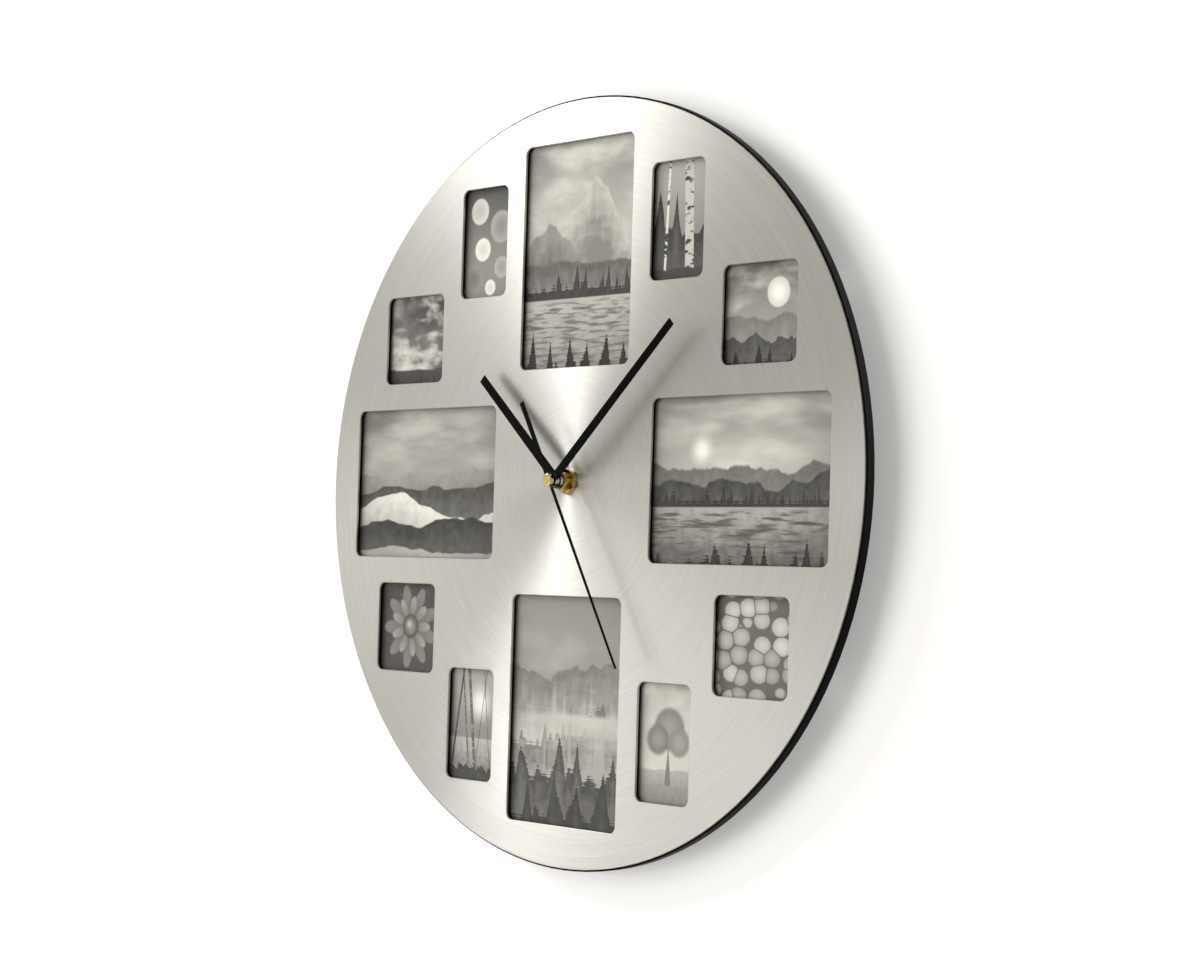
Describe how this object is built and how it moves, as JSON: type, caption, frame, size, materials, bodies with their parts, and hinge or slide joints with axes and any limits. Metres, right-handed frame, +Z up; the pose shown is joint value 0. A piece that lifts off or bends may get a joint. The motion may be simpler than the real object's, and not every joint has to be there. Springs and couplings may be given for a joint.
{
  "type": "photo frame wall clock",
  "caption": "Round wall clock whose brushed aluminium disc is a picture frame, with rounded windows in place of the numerals, black baton hands and a quartz movement.",
  "frame": {"origin": "on the wall plane, where the axis of the hands meets the flat back of the movement", "axes": "+X to the right as a viewer sees the dial, +Y into the wall, +Z up towards twelve"},
  "size_m": [0.35, 0.0328, 0.35],
  "materials": {
    "brushed_face": "circularly brushed",
    "frame_black": "satin black",
    "clear_pane": "clear",
    "photo_paper": "semi-matt",
    "back_board": "fine matt",
    "button_steel": "zinc plated",
    "movement_black": "matt",
    "brass_fixing": "turned",
    "hand_black": "painted satin black",
    "gear_plastic": "moulded",
    "magnet": "sintered",
    "copper_winding": "enamelled wire",
    "iron_sheet": "plain",
    "board_green": "lacquered",
    "battery_sleeve": "plain printed sleeve"
  },
  "bodies": {
    "clock": {"front_plate": "brushed_face", "frame_body": "frame_black", "window_pane_01": "clear_pane", "window_pane_02": "clear_pane", "window_pane_03": "clear_pane", "window_pane_04": "clear_pane", "window_pane_05": "clear_pane", "window_pane_06": "clear_pane", "window_pane_07": "clear_pane", "window_pane_08": "clear_pane", "window_pane_09": "clear_pane", "window_pane_10": "clear_pane", "window_pane_11": "clear_pane", "window_pane_12": "clear_pane", "photo_print_01": "photo_paper", "photo_print_02": "photo_paper", "photo_print_03": "photo_paper", "photo_print_04": "photo_paper", "photo_print_05": "photo_paper", "photo_print_06": "photo_paper", "photo_print_07": "photo_paper", "photo_print_08": "photo_paper", "photo_print_09": "photo_paper", "photo_print_10": "photo_paper", "photo_print_11": "photo_paper", "photo_print_12": "photo_paper", "back_cover": "back_board", "turn_button_screws": "button_steel", "movement_case": "movement_black", "movement_cover": "movement_black", "threaded_bush": "brass_fixing", "hex_nut": "brass_fixing", "brass_washer": "brass_fixing", "drive_coil": "copper_winding", "stator": "iron_sheet", "contact_plus": "iron_sheet", "contact_minus": "iron_sheet", "quartz_crystal": "iron_sheet", "circuit_board": "board_green", "battery": "battery_sleeve"},
    "second_hand_train": {"seconds_wheel": "gear_plastic", "second_hand": "hand_black", "second_hand_hub": "brass_fixing"},
    "third_train": {"third_wheel": "gear_plastic"},
    "centre_train": {"centre_wheel": "gear_plastic"},
    "step_train": {"step_wheel": "gear_plastic"},
    "rotor_train": {"rotor": "magnet"},
    "minute_hand_train": {"minute_pipe": "brass_fixing", "minute_hand": "hand_black"},
    "hour_hand_train": {"hour_wheel": "gear_plastic", "hour_hand": "hand_black"},
    "motion_train": {"motion_wheel": "gear_plastic"},
    "knob": {"setting_knob": "movement_black"},
    "button_1": {"turn_button_1": "button_steel"},
    "button_2": {"turn_button_2": "button_steel"},
    "button_3": {"turn_button_3": "button_steel"},
    "button_4": {"turn_button_4": "button_steel"},
    "button_5": {"turn_button_5": "button_steel"},
    "button_6": {"turn_button_6": "button_steel"}
  },
  "joints": [
    {"name": "second_turn", "type": "hinge", "parent": "clock", "child": "second_hand_train", "pos_m": [0, 0, 0], "axis": [0, 1, 0], "continuous": true},
    {"name": "third_turn", "type": "hinge", "parent": "clock", "child": "third_train", "pos_m": [-0.00945, 0, 0.00167], "axis": [0, 1, 0], "continuous": true},
    {"name": "centre_turn", "type": "hinge", "parent": "clock", "child": "centre_train", "pos_m": [0, 0, 0], "axis": [0, 1, 0], "continuous": true},
    {"name": "step_turn", "type": "hinge", "parent": "clock", "child": "step_train", "pos_m": [0.00945, 0, 0.00167], "axis": [0, 1, 0], "continuous": true},
    {"name": "rotor_turn", "type": "hinge", "parent": "clock", "child": "rotor_train", "pos_m": [0.01185, 0, 0.00824], "axis": [0, 1, 0], "continuous": true},
    {"name": "minute_turn", "type": "hinge", "parent": "clock", "child": "minute_hand_train", "pos_m": [0, 0, 0], "axis": [0, 1, 0], "continuous": true},
    {"name": "hour_turn", "type": "hinge", "parent": "clock", "child": "hour_hand_train", "pos_m": [0, 0, 0], "axis": [0, 1, 0], "continuous": true},
    {"name": "motion_turn", "type": "hinge", "parent": "clock", "child": "motion_train", "pos_m": [-0.00167, 0, 0.00945], "axis": [0, 1, 0], "continuous": true},
    {"name": "knob_turn", "type": "hinge", "parent": "clock", "child": "knob", "pos_m": [-0.00253, 0, 0.01932], "axis": [0, 1, 0], "continuous": true},
    {"name": "button_1_turn", "type": "hinge", "parent": "clock", "child": "button_1", "pos_m": [0.14766, 0, 0.08525], "axis": [0, 1, 0], "range_deg": [0, 90]},
    {"name": "button_2_turn", "type": "hinge", "parent": "clock", "child": "button_2", "pos_m": [0, 0, 0.1705], "axis": [0, 1, 0], "range_deg": [0, 90]},
    {"name": "button_3_turn", "type": "hinge", "parent": "clock", "child": "button_3", "pos_m": [-0.14766, 0, 0.08525], "axis": [0, 1, 0], "range_deg": [0, 90]},
    {"name": "button_4_turn", "type": "hinge", "parent": "clock", "child": "button_4", "pos_m": [-0.14766, 0, -0.08525], "axis": [0, 1, 0], "range_deg": [0, 90]},
    {"name": "button_5_turn", "type": "hinge", "parent": "clock", "child": "button_5", "pos_m": [0, 0, -0.1705], "axis": [0, 1, 0], "range_deg": [0, 90]},
    {"name": "button_6_turn", "type": "hinge", "parent": "clock", "child": "button_6", "pos_m": [0.14766, 0, -0.08525], "axis": [0, 1, 0], "range_deg": [0, 90]}
  ],
  "couplings": [
    {"joint": "third_turn", "follows": "second_turn", "ratio": -0.13333},
    {"joint": "centre_turn", "follows": "second_turn", "ratio": 0.016667},
    {"joint": "step_turn", "follows": "second_turn", "ratio": -5},
    {"joint": "rotor_turn", "follows": "second_turn", "ratio": 30},
    {"joint": "hour_turn", "follows": "minute_turn", "ratio": 0.083333},
    {"joint": "motion_turn", "follows": "minute_turn", "ratio": -0.33333},
    {"joint": "knob_turn", "follows": "minute_turn", "ratio": 0.88889}
  ]
}
